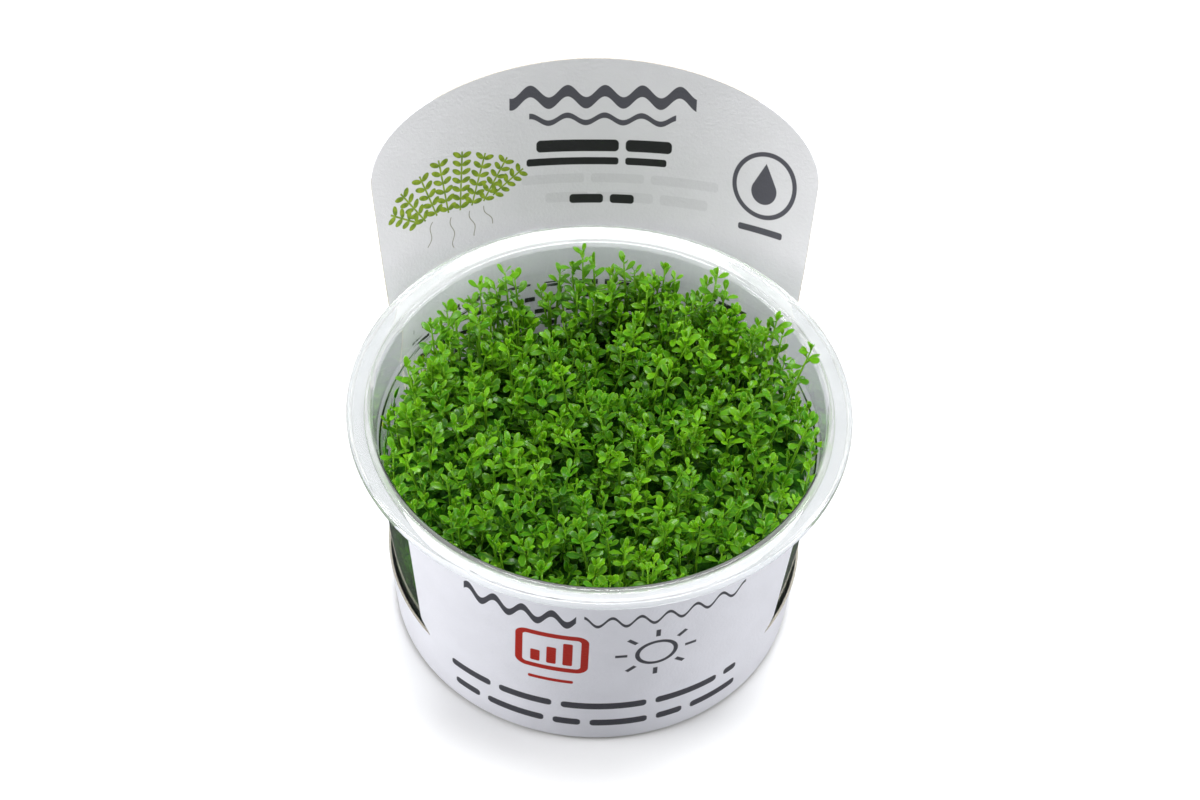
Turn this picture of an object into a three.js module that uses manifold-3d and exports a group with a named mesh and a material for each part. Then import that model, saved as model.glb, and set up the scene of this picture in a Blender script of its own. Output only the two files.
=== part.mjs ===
// Dwarf baby tears grown in tissue culture: a clear plastic cup with a flat rim, a printed card sleeve with a
// tall round-topped header, a layer of culture gel, and a dense mat of small-leaved plants.
// Millimetres, +Z up. The origin is the middle of the cup's base, and the card header stands at +Y.

import * as THREE from 'three';
import { mergeGeometries, mergeVertices } from 'three/addons/utils/BufferGeometryUtils.js';
import Module from 'manifold-3d';

const wasm = await Module();
wasm.setup();

// Cup
const cupHeight = 56;
const rimRadius = 50;
const lipRadius = 46.1;
const mouthRadius = 44.9;
const wall = 0.6;
const cupFloor = 0.7;
const stepDrop = 10;
const stepInset = 0.7;
const wallSlope = 0.08;
const baseRadius = 40.7;
const baseCorner = 3;
const cupFacets = 36;
const gelFacets = 24;

// Card sleeve
const cardThickness = 0.45;
const sleeveBottom = 0.9;
const sleeveTop = 54.4;
const sleeveRimRadius = 46;
const sleeveSlope = 0.0935;
const sillHeight = 15;
const panelHalfAngle = 56;
const panelWaistHalfAngle = 55.2;
const panelFootHalfAngle = 52.5;
const panelFootRise = 5;
const headerHalfWidth = 45.85;
const headerShoulder = cupHeight + 14.4;
const headerTop = cupHeight + 36.2;
const headerRoundness = 1.83;
const headerCurveRadius = 81.5;
const headerStandOff = 50.4;
const headerLean = 7;
const panelFacets = 14;
const sideFacets = 8;
const headerFacets = 16;
const headerRows = 5;

// Gel and plants
const fitGap = 0.3;
const gelTop = 7;
const matRadius = 39.9;
const matFacets = 24;
const blockEdge = 1.2;
const tuftSpacing = 15.4;
const tuftJitter = 0.9;
const shortestSide = 1.5;
const shootSpacing = 7.8;
const shootJitter = 0.8;
const rosetteSize = 4.3;
const rosetteVariation = 0.2;
const rootDepth = 8.5;
const tipVariation = 2.2;
const leafLayer = 4.5;
const leafHalfAngle = Math.PI / 10;
const starDip = 0.2;
const starDepth = 0.34;
const stemReach = 0.27;
const tallLeaf = 3.8;
const stemRadius = 0.45;

// Tall shoots that stand out of the mat: root x, root y, tip x, tip y, and the tip's height above the rim.
const tallShoots = [
  [-1, 36, -2.5, 39.5, 2.5],
  [-16, 32, -18.5, 35.5, 0.5],
  [-22, 29.5, -23.7, 33.4, -1],
  [-29, 24, -30.4, 27.4, -2],
  [7, 35, 6, 38.2, 1],
  [14, 33, 14.5, 36.8, 0.5],
  [23, 31, 25, 33.8, 1.5],
  [34, 19, 36.5, 21.6, 1.2],
  [36.8, 8, 42.4, 10.6, 4.2],
  [37.5, -6.5, 40.8, -5.2, -1.5],
  [-36, 10, -38.2, 12.3, -3],
];

const colours = {
  cup: { color: 0xdfe7e4, roughness: 0.12, metalness: 0 },
  sleeve: { color: 0xe9e9ee, roughness: 0.55, metalness: 0 },
  gel: { color: 0xcfd6bd, roughness: 0.2, metalness: 0 },
  plants: [0x4f9a1c, 0x5aa822, 0x468f18],
};

// The mat's radius follows the cup's tapered wall.
function spread(height) {
  return 1 + (wallSlope * (height - gelTop)) / matRadius;
}

// Height of the leaf tips over a point of the mat: lower along the back and the left.
function canopy(x, y) {
  const back = THREE.MathUtils.smoothstep(y - 0.35 * x, 12, 34);
  const left = THREE.MathUtils.smoothstep(-x, 24, 38);
  return cupHeight - 7 - 4.5 * back - 1.5 * left + 0.8 * Math.sin(0.21 * x + 1) * Math.cos(0.18 * y);
}

// The same numbers between 0 and 1 on every run.
function seededDraw(seed) {
  const [multiplier, increment, modulus] = [1664525, 1013904223, 2 ** 32];
  let state = seed;
  return () => {
    state = (state * multiplier + increment) % modulus;
    return state / modulus;
  };
}

// Welded geometry with positions only and no empty triangles.
function weld(geometry) {
  const bare = geometry.clone();
  bare.deleteAttribute('normal');
  bare.deleteAttribute('uv');
  const merged = mergeVertices(bare, 1e-3);
  const corners = merged.index.array;
  const kept = [];
  for (let i = 0; i < corners.length; i += 3) {
    const [a, b, c] = corners.slice(i, i + 3);
    if (a !== b && b !== c && c !== a) kept.push(a, b, c);
  }
  merged.setIndex(kept);
  return merged;
}

function toSolid(geometry) {
  const merged = weld(geometry);
  return new wasm.Manifold(new wasm.Mesh({
    numProp: 3,
    vertProperties: new Float32Array(merged.attributes.position.array),
    triVerts: new Uint32Array(merged.index.array),
  }));
}

function toGeometry(solid) {
  const mesh = solid.getMesh();
  const geometry = new THREE.BufferGeometry();
  geometry.setAttribute('position', new THREE.BufferAttribute(new Float32Array(mesh.vertProperties), 3));
  geometry.setIndex(new THREE.BufferAttribute(new Uint32Array(mesh.triVerts), 1));
  geometry.computeVertexNormals();
  return geometry;
}

// Moves every vertex of a geometry through a function of its position.
function remap(geometry, place) {
  const position = geometry.attributes.position;
  const point = new THREE.Vector3();
  for (let i = 0; i < position.count; i += 1) {
    point.fromBufferAttribute(position, i);
    place(point);
    position.setXYZ(i, point.x, point.y, point.z);
  }
  return geometry;
}

function turned(profile, facets) {
  const points = profile.map(([radius, height]) => new THREE.Vector2(radius, height));
  const geometry = weld(new THREE.LatheGeometry(points, facets));
  return geometry.rotateX(Math.PI / 2);
}

// A thin tapered cup: base, lower wall, step, upper wall, then a rim that rises outwards from a lip at the mouth.
function cupGeometry() {
  const stepHeight = cupHeight - stepDrop;
  const lowerWall = baseRadius + wallSlope * (stepHeight - baseCorner);
  const upperWall = lowerWall + stepInset;
  const mouthWall = mouthRadius + wall;
  return turned([
    [0, 0],
    [baseRadius - baseCorner, 0],
    [baseRadius - 0.8, 0.8],
    [baseRadius, baseCorner],
    [lowerWall, stepHeight - 0.6],
    [upperWall, stepHeight + 0.6],
    [mouthWall, cupHeight - 1.3],
    [rimRadius - 0.9, cupHeight - 1],
    [rimRadius - 0.5, cupHeight - 1.7],
    [rimRadius, cupHeight - 0.4],
    [rimRadius - 0.4, cupHeight],
    [lipRadius + 0.5, cupHeight - 0.8],
    [lipRadius - 0.1, cupHeight - 0.4],
    [mouthRadius, cupHeight - 0.9],
    [upperWall - wall, stepHeight + 0.9],
    [lowerWall - wall, stepHeight - 0.3],
    [baseRadius - wall, baseCorner + 0.2],
    [baseRadius - baseCorner - 0.3, cupFloor],
    [0, cupFloor],
  ], cupFacets);
}

// Inside face of the card. around is the distance along the card from the middle of the back.
// The card hugs the cup up to a line that climbs from the base to the sill of the side windows, then runs straight
// up past the rim.
const sillRadius = sleeveRimRadius + sleeveSlope * (sillHeight - cupHeight);
const headerHalfAngle = headerHalfWidth / sillRadius;

function bandPoint(angle, height) {
  const radius = sleeveRimRadius + sleeveSlope * (height - cupHeight);
  return new THREE.Vector3(radius * Math.sin(angle), radius * Math.cos(angle), height);
}

function headerPoint(around, height) {
  const leaveHeight = sleeveBottom + (sillHeight - sleeveBottom) * (Math.abs(around) / headerHalfWidth);
  const leaveRadius = sleeveRimRadius + sleeveSlope * (leaveHeight - cupHeight);
  const leave = bandPoint(around / leaveRadius, leaveHeight);
  if (height <= leaveHeight) return bandPoint(around / leaveRadius, height);
  const turn = around / headerCurveRadius;
  const pass = new THREE.Vector3(
    headerCurveRadius * Math.sin(turn),
    headerStandOff - headerCurveRadius * (1 - Math.cos(turn)),
    cupHeight,
  );
  const point = leave.clone().lerp(pass, (height - leaveHeight) / (cupHeight - leaveHeight));
  point.y += Math.max(0, height - cupHeight) * Math.tan(THREE.MathUtils.degToRad(headerLean));
  return point;
}

function headerEdge(around) {
  const across = Math.min(1, Math.abs(around) / headerHalfWidth);
  const rise = (1 - across ** headerRoundness) ** (1 / headerRoundness);
  return headerShoulder + (headerTop - headerShoulder) * rise;
}

// Gives an open sheet its thickness outwards and closes it along its edges.
function thicken(sheet, thickness) {
  sheet.computeVertexNormals();
  const { position, normal } = sheet.attributes;
  const count = position.count;
  const points = [];
  for (let i = 0; i < count; i += 1) points.push(position.getX(i), position.getY(i), position.getZ(i));
  for (let i = 0; i < count; i += 1) {
    points.push(
      position.getX(i) + thickness * normal.getX(i),
      position.getY(i) + thickness * normal.getY(i),
      position.getZ(i) + thickness * normal.getZ(i),
    );
  }
  const corners = sheet.index.array;
  const used = new Set();
  for (let i = 0; i < corners.length; i += 3) {
    for (let k = 0; k < 3; k += 1) used.add(`${corners[i + k]} ${corners[i + ((k + 1) % 3)]}`);
  }
  const faces = [];
  for (let i = 0; i < corners.length; i += 3) {
    const [a, b, c] = corners.slice(i, i + 3);
    faces.push(a + count, b + count, c + count, c, b, a);
    for (const [from, to] of [[a, b], [b, c], [c, a]]) {
      if (used.has(`${to} ${from}`)) continue;
      faces.push(from, to, to + count, from, to + count, from + count);
    }
  }
  const geometry = new THREE.BufferGeometry();
  geometry.setAttribute('position', new THREE.Float32BufferAttribute(points, 3));
  geometry.setIndex(faces);
  return geometry;
}

// One sheet of card: a ring below the two side windows, the front panel between them, and the header behind.
// The front panel widens a little towards its foot, where it runs into the ring.
function sleeveGeometry() {
  const { degToRad, lerp } = THREE.MathUtils;
  const halfAngles = [panelFootHalfAngle, panelWaistHalfAngle, panelHalfAngle].map(degToRad);
  const levels = [sillHeight, sillHeight + panelFootRise, sleeveTop];
  const ease = (share) => headerHalfWidth * Math.sin((share * Math.PI) / 2);
  const level = (share) => lerp(sleeveBottom, sillHeight, share + 0.5);
  const ringBack = new THREE.PlaneGeometry(2, 1, headerFacets, 1);
  const ringFront = new THREE.PlaneGeometry(2, 1, panelFacets, 1);
  const frontPanel = new THREE.PlaneGeometry(2, 2, panelFacets, 2);
  const header = new THREE.PlaneGeometry(2, 1, headerFacets, headerRows);
  remap(ringBack, (p) => p.copy(headerPoint(ease(p.x), level(p.y))));
  remap(ringFront, (p) => p.copy(bandPoint(Math.PI + p.x * halfAngles[0], level(p.y))));
  remap(frontPanel, (p) => {
    const row = Math.round(p.y) + 1;
    p.copy(bandPoint(Math.PI + p.x * halfAngles[row], levels[row]));
  });
  remap(header, (p) => {
    const around = ease(p.x);
    p.copy(headerPoint(around, lerp(sillHeight, headerEdge(around), p.y + 0.5)));
  });
  const ringSides = [0, 1].map((side) => {
    const ringSide = new THREE.PlaneGeometry(1, 1, sideFacets, 1);
    const [from, to] = side === 0
      ? [headerHalfAngle, Math.PI - halfAngles[0]]
      : [Math.PI + halfAngles[0], 2 * Math.PI - headerHalfAngle];
    return remap(ringSide, (p) => p.copy(bandPoint(lerp(from, to, p.x + 0.5), level(p.y))));
  });
  const sheet = weld(mergeGeometries([ringBack, ringFront, ...ringSides, frontPanel, header]));
  sheet.setIndex([...sheet.index.array].reverse());
  return thicken(sheet, cardThickness);
}

function gelGeometry() {
  const floor = cupFloor + fitGap;
  const side = baseRadius - wall - fitGap;
  return turned([
    [0, floor],
    [baseRadius - baseCorner - 0.6, floor],
    [side - 1.8, 1.8],
    [side, baseCorner + 0.4],
    [side + wallSlope * (gelTop - baseCorner), gelTop],
    [0, gelTop],
  ], gelFacets);
}

// Middles of the plant clumps: one, a ring of six and a ring of twelve, a little out of line.
function tuftCentres() {
  const draw = seededDraw(7);
  const centres = [];
  for (let q = -2; q <= 2; q += 1) {
    for (let r = Math.max(-2, -2 - q); r <= Math.min(2, 2 - q); r += 1) {
      const x = tuftSpacing * (q + r / 2);
      const y = tuftSpacing * r * Math.sqrt(0.75);
      centres.push(new THREE.Vector2(x + tuftJitter * (2 * draw() - 1), y + tuftJitter * (2 * draw() - 1)));
    }
  }
  return centres;
}

const centres = tuftCentres();

function nearest(spot) {
  const distances = centres.map((centre) => centre.distanceTo(spot));
  return distances.indexOf(Math.min(...distances));
}

// Outline of one clump: the part of the mat's disc that is nearer to its middle than to any other.
function clumpOutline(index) {
  const own = centres[index];
  let outline = [];
  for (let i = 0; i < matFacets; i += 1) {
    const angle = (i / matFacets) * 2 * Math.PI;
    outline.push(new THREE.Vector2(matRadius * Math.cos(angle), matRadius * Math.sin(angle)));
  }
  centres.forEach((other, at) => {
    if (at === index) return;
    const away = other.clone().sub(own);
    const limit = away.length() / 2 - fitGap / 2;
    away.normalize();
    const past = (p) => p.clone().sub(own).dot(away) - limit;
    const cut = [];
    outline.forEach((point, i) => {
      const next = outline[(i + 1) % outline.length];
      const [here, there] = [past(point), past(next)];
      if (here <= 0) cut.push(point);
      if (here * there < 0) cut.push(point.clone().lerp(next, here / (here - there)));
    });
    outline = cut;
  });
  return outline.filter((point, i) => point.distanceTo(outline[(i + 1) % outline.length]) > shortestSide);
}

// The tangle of stems and lower leaves: a block with its top edge taken off.
function clumpBlock(index) {
  const top = canopy(centres[index].x, centres[index].y) - leafLayer;
  const bottom = gelTop + fitGap;
  const block = new THREE.ExtrudeGeometry(new THREE.Shape(clumpOutline(index)), {
    depth: top - bottom - 2 * blockEdge,
    bevelSize: blockEdge,
    bevelOffset: -blockEdge,
    bevelThickness: blockEdge,
    bevelSegments: 1,
  });
  return block.translate(0, 0, bottom + blockEdge);
}

// Leaves that spread from one point of a stem and rise to their blunt tips: two make a pair, four a rosette.
// Each leaf adds a notch and the two corners of its tip to the outline. The underside is a few flat faces.
function leafStar(leaves, size) {
  const points = [0, 0, -starDip * size];
  const faces = [];
  const count = 3 * leaves;
  for (let leaf = 0; leaf < leaves; leaf += 1) {
    const middle = (leaf * 2 * Math.PI) / leaves;
    const corners = [
      { angle: middle - Math.PI / leaves, reach: 0.3, drop: starDepth },
      { angle: middle - leafHalfAngle, reach: 1, drop: 0 },
      { angle: middle + leafHalfAngle, reach: 1, drop: 0 },
    ];
    corners.forEach(({ angle, reach, drop }) => {
      points.push(size * reach * Math.cos(angle), size * reach * Math.sin(angle), -size * drop);
    });
    const notch = 3 * leaf + 1;
    const nextNotch = ((3 * leaf + 3) % count) + 1;
    faces.push(0, notch, notch + 1, 0, notch + 1, notch + 2, 0, notch + 2, nextNotch);
    faces.push(notch, notch + 2, notch + 1, notch, nextNotch, notch + 2);
    if (leaf > 0 && leaf < leaves - 1) faces.push(1, nextNotch, notch);
  }
  const star = new THREE.BufferGeometry();
  star.setAttribute('position', new THREE.Float32BufferAttribute(points, 3));
  star.setIndex(faces);
  return star;
}

// Straight three-sided stem from one height to another.
function shortStem(x, y, bottom, top) {
  const stem = new THREE.CylinderGeometry(stemRadius, 1.6 * stemRadius, top - bottom, 3);
  return stem.rotateX(Math.PI / 2).translate(x, y, (top + bottom) / 2);
}

// Where the short shoots stand, on a loose triangular grid over the whole mat.
function shootSpots() {
  const draw = seededDraw(31);
  const reach = Math.ceil(matRadius / shootSpacing);
  const spots = [];
  for (let row = -reach; row <= reach; row += 1) {
    for (let column = -reach; column <= reach; column += 1) {
      const spot = new THREE.Vector2(
        shootSpacing * (column + row / 2 - Math.round(row / 2)) + shootJitter * (2 * draw() - 1),
        shootSpacing * row * Math.sqrt(0.75) + shootJitter * (2 * draw() - 1),
      );
      const size = rosetteSize * (0.88 + rosetteVariation * draw());
      const shoot = { spot, size, turn: draw() * Math.PI, lift: tipVariation * (draw() - 0.5) };
      if (spot.length() < matRadius - 0.4 * rosetteSize) spots.push(shoot);
    }
  }
  return spots;
}

const shoots = shootSpots();

// Adds the short shoots that grow from one clump.
function addShortShoots(block, index) {
  let solid = block;
  for (const { spot, size, turn, lift } of shoots) {
    if (nearest(spot) !== index) continue;
    const root = spot.clone().lerp(centres[index], 0.15).clampLength(0, matRadius - size);
    const tip = canopy(root.x, root.y) + lift;
    const top = leafStar(4, size).rotateZ(turn).translate(root.x, root.y, tip);
    solid = solid.add(toSolid(shortStem(root.x, root.y, tip - rootDepth, tip - stemReach * size)));
    solid = solid.add(toSolid(top));
  }
  return solid;
}

// A single shoot: a slim stem, crossed pairs of leaves up it and a rosette at the tip.
function tallShoot(rootX, rootY, tipX, tipY, above) {
  const tip = new THREE.Vector3(tipX, tipY, cupHeight + above);
  const root = new THREE.Vector3(rootX, rootY, canopy(rootX, rootY) - leafLayer - 2);
  const knee = root.clone().lerp(tip, 0.5).setZ((root.z + tip.z) / 2 + 0.6);
  const topSize = 0.85 * tallLeaf;
  const path = new THREE.QuadraticBezierCurve3(root, knee, tip.clone().setZ(tip.z - stemReach * topSize));
  const section = new THREE.Shape([0, 1, 2].map((k) => (
    new THREE.Vector2(stemRadius, 0).rotateAround(new THREE.Vector2(), (k * 2 * Math.PI) / 3)
  )));
  let solid = toSolid(new THREE.ExtrudeGeometry(section, { steps: 2, extrudePath: path }));
  const outward = Math.atan2(tipY, tipX);
  [0.5, 0.75].forEach((share, pair) => {
    const at = path.getPoint(share);
    const leaves = leafStar(2, tallLeaf).rotateZ(outward + ((pair + 1) * Math.PI) / 3 - Math.PI / 6);
    solid = solid.add(toSolid(leaves.translate(at.x, at.y, at.z + stemReach * tallLeaf)));
  });
  const top = leafStar(4, topSize).rotateZ(outward + Math.PI / 4);
  return solid.add(toSolid(top.translate(tip.x, tip.y, tip.z)));
}

function tuftGeometry(index) {
  let solid = addShortShoots(toSolid(clumpBlock(index)), index);
  centres.forEach((other, at) => {
    if (at === index) return;
    const inward = centres[index].clone().sub(other);
    const middle = centres[index].clone().add(other).multiplyScalar(0.5);
    inward.normalize();
    solid = solid.trimByPlane([inward.x, inward.y, 0], inward.dot(middle) + fitGap / 2);
  });
  const straight = toGeometry(solid);
  const tapered = remap(straight, (p) => {
    const widen = spread(p.z);
    p.x *= widen;
    p.y *= widen;
  });
  solid = toSolid(tapered);
  for (const shoot of tallShoots) {
    const root = new THREE.Vector2(shoot[0], shoot[1]).divideScalar(spread(cupHeight));
    if (nearest(root) === index) solid = solid.add(tallShoot(...shoot));
  }
  return toGeometry(solid);
}

function piece(name, geometry, finish) {
  const mesh = new THREE.Mesh(geometry, new THREE.MeshStandardMaterial(finish));
  mesh.name = name;
  return mesh;
}

const plant = new THREE.Group();
plant.add(piece('cup', cupGeometry(), colours.cup));
plant.add(piece('sleeve', sleeveGeometry(), colours.sleeve));
plant.add(piece('gel', gelGeometry(), colours.gel));
centres.forEach((centre, index) => {
  const name = `tuft_${String(index + 1).padStart(2, '0')}`;
  const color = colours.plants[index % colours.plants.length];
  plant.add(piece(name, tuftGeometry(index), { color, roughness: 0.45, metalness: 0 }));
});

export default plant;
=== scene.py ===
"""Dwarf baby tears grown in tissue culture: a clear cup, a white card sleeve and a dense mat of tiny leaves.

The frame gives metres with +Z up, the origin in the middle of the cup's underside and the card header at +Y.
The dimensions below are in millimetres, as in the part's source. A mesh is scaled to metres once it is done.
"""
import math
import random

import bmesh
import bpy
import numpy as np
from mathutils import Matrix, Vector, noise


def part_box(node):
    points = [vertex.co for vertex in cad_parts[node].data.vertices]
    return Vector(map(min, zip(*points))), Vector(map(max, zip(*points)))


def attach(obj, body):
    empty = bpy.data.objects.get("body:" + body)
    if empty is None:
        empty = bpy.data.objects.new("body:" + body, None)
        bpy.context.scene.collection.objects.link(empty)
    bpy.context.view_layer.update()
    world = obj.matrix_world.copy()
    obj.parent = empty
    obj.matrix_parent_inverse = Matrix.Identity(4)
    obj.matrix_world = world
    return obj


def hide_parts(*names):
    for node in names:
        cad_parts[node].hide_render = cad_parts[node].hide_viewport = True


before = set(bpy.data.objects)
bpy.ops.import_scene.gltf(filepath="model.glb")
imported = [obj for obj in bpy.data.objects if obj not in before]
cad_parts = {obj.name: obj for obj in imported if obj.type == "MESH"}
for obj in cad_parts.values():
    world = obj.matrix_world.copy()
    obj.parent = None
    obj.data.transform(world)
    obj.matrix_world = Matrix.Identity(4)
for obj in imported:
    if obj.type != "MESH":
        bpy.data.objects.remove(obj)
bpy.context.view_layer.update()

MM = 0.001

# Cup, in millimetres
CUP_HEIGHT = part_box("cup")[1].z / MM
RIM_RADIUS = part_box("cup")[1].x / MM
WALL = 0.6
STEP_DROP = 10
STEP_INSET = 0.7
WALL_SLOPE = 0.08
BASE_RADIUS = 40.7
BASE_CORNER = 3
LIP_RADIUS = 46.1
MOUTH_RADIUS = 44.9
RIM_DEPTH = 2
CORNER_POINTS = 7
CUP_FACETS = 160
WELD = 1e-4

# Card sleeve, in millimetres and degrees
CARD_THICKNESS = 0.45
SLEEVE_BOTTOM = 0.9
SLEEVE_TOP = 54.4
SLEEVE_RIM_RADIUS = 46
SLEEVE_SLOPE = 0.0935
SILL_HEIGHT = 15
PANEL_HALF_ANGLE = 56
PANEL_FOOT_HALF_ANGLE = 52.5
PANEL_FOOT_RISE = 5
HEADER_HALF_WIDTH = 45.85
HEADER_SHOULDER = CUP_HEIGHT + 14.4
HEADER_TOP = CUP_HEIGHT + 36.2
HEADER_ROUNDNESS = 1.83
HEADER_CURVE_RADIUS = 81.5
HEADER_STAND_OFF = 50.4
HEADER_LEAN = 7
SHARP_ANGLE = 35
SHEET_WELD = 0.02

# Columns and rows of the grids that the sheet is joined from
BACK_COLUMNS = 64
FRONT_COLUMNS = 56
SIDE_COLUMNS = 32
RING_ROWS = 6
PANEL_ROWS = 24
HEADER_ROWS = 40

# The flat coordinates of the front lie this far along, clear of those of the back.
FRONT_OFFSET = 300

# Ink has this much softness at its edge, in millimetres.
EDGE_SOFTNESS = 0.12

# Gel and plants, in millimetres
FIT_GAP = 0.3
GEL_TOP = 7
GEL_FACETS = 96
MAT_RADIUS = 39.9
SHOOT_SPACING = 3.1
STEM_RADIUS = 0.27
CORE_DEPTH = 9.5
CORE_RINGS = 24
CORE_FACETS = 120
LEAF_GAP = 0.15
PLANT_SEED = 20

# Length of a shoot, its pairs of leaves and the range of its largest leaf
SHOOT_LENGTH = 12
SHOOT_PAIRS = 6
LEAF_SIZES = (2.5, 4.0)

# Beyond this share of the mat's radius shoots stand along the wall: their extra length and pairs of leaves
WALL_SHARE = 0.86
WALL_EXTRA_LENGTH = 12
WALL_PAIRS = 9

# Shoots along the back, and leaves against the clear wall: how many, and between which angles and heights
BACK_SHOOTS = 54
BACK_ANGLES = (-80, 72)
WALL_LEAVES = 420
WALL_LEAF_ANGLES = (60, 130)
WALL_LEAF_HEIGHTS = (11, 44)

# How far the leaf tips lie below the rim, how much lower at the back and the left, and how high they swell
CANOPY_DEPTH = 7
BACK_DIP = 4.5
LEFT_DIP = 1.5
CANOPY_SWELL = 0.8

# Shoots that stand out of the mat, as in the part's source: root x, root y, tip x, tip y, tip above the rim
TALL_SHOOTS = [
    (-1, 36, -2.5, 39.5, 2.5),
    (-16, 32, -18.5, 35.5, 0.5),
    (-22, 29.5, -23.7, 33.4, -1),
    (-29, 24, -30.4, 27.4, -2),
    (7, 35, 6, 38.2, 1),
    (14, 33, 14.5, 36.8, 0.5),
    (23, 31, 25, 33.8, 1.5),
    (34, 19, 36.5, 21.6, 1.2),
    (36.8, 8, 42.4, 10.6, 4.2),
    (37.5, -6.5, 40.8, -5.2, -1.5),
    (-36, 10, -38.2, 12.3, -3),
]

# Tall shoots along the back stand in small groups: how far beside the tallest, and how much lower
SHOOT_GROUP = [(0, 0), (-2.3, 2.6), (2.1, 3.8)]

# The camera stands a little to the left of the card's middle and looks down at the rim.
CAMERA_TURN = 3.7
CAMERA_REACH = 377.7
CAMERA_RISE = 428.3
CAMERA_ROLL = 2.66
CAMERA_LENS = 86.75

# Studio: the floor's half width in millimetres, and each light's place and size in metres and its power
FLOOR_REACH = 3000
LIGHTS = [
    ("softbox above the back", (0.07, 0.19, 1.05), (0.6, 0.46), 12),
    ("broad light above", (-0.1, -0.25, 1.3), (1.2, 0.7), 1),
    ("broad light from the left", (-1.0, -0.12, 0.35), (0.5, 0.8), 10),
    ("broad light from the right", (1.0, -0.1, 0.35), (0.5, 0.8), 7.5),
]
LIGHT_AIM = (0, 0, 0.05)
WORLD_STRENGTH = 0.33


# Shared helpers

def add_object(name, data):
    made = bpy.data.objects.new(name, data)
    bpy.context.scene.collection.objects.link(made)
    return made


def to_mesh(name, bm):
    """Scales the mesh from millimetres to metres."""
    bmesh.ops.scale(bm, vec=(MM, MM, MM), verts=bm.verts)
    mesh = bpy.data.meshes.new(name)
    bm.to_mesh(mesh)
    bm.free()
    return mesh


def add_piece(name, mesh, materials):
    """Makes a smooth object of a mesh in metres and puts it on the cup's one body."""
    for material in materials:
        mesh.materials.append(material)
    mesh.polygons.foreach_set("use_smooth", [True] * len(mesh.polygons))
    piece = add_object(name, mesh)
    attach(piece, "root")
    return piece


def turn_profile(profile, facets):
    """Spins an outline of (radius, height) points round the cup's axis and closes it."""
    bm = bmesh.new()
    ring = [bm.verts.new((radius, 0, height)) for radius, height in profile]
    edges = [bm.edges.new(pair) for pair in zip(ring, ring[1:])]
    bmesh.ops.spin(bm, geom=ring + edges, cent=(0, 0, 0), axis=(0, 0, 1), angle=2 * math.pi,
                   steps=facets, use_merge=True)
    bmesh.ops.remove_doubles(bm, verts=bm.verts, dist=WELD)
    bmesh.ops.recalc_face_normals(bm, faces=bm.faces)
    return bm


def on_circle(radius, angle, height):
    """A point round the cup's axis, by the angle from the middle of the back."""
    return Vector((radius * math.sin(angle), radius * math.cos(angle), height))


def smooth_step(value, low, high):
    share = min(1.0, max(0.0, (value - low) / (high - low)))
    return share * share * (3 - 2 * share)


def spread(height):
    """The mat's radius follows the cup's tapered wall."""
    return 1 + WALL_SLOPE * (height - GEL_TOP) / MAT_RADIUS


def inner_wall(height):
    """Radius of the cup's inner wall at a height: it steps out a little below the rim."""
    straight = BASE_RADIUS - WALL + WALL_SLOPE * (height - BASE_CORNER)
    return straight + STEP_INSET * (height > CUP_HEIGHT - STEP_DROP)


def canopy(x, y):
    """Height of the leaf tips over a point of the mat: in swells, and lower along the back and the left."""
    back = smooth_step(y - 0.35 * x, 12, 34)
    left = smooth_step(-x, 24, 38)
    swell = CANOPY_SWELL * math.sin(0.21 * x + 1) * math.cos(0.18 * y)
    return CUP_HEIGHT - CANOPY_DEPTH - BACK_DIP * back - LEFT_DIP * left + swell


# Shader helpers

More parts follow.
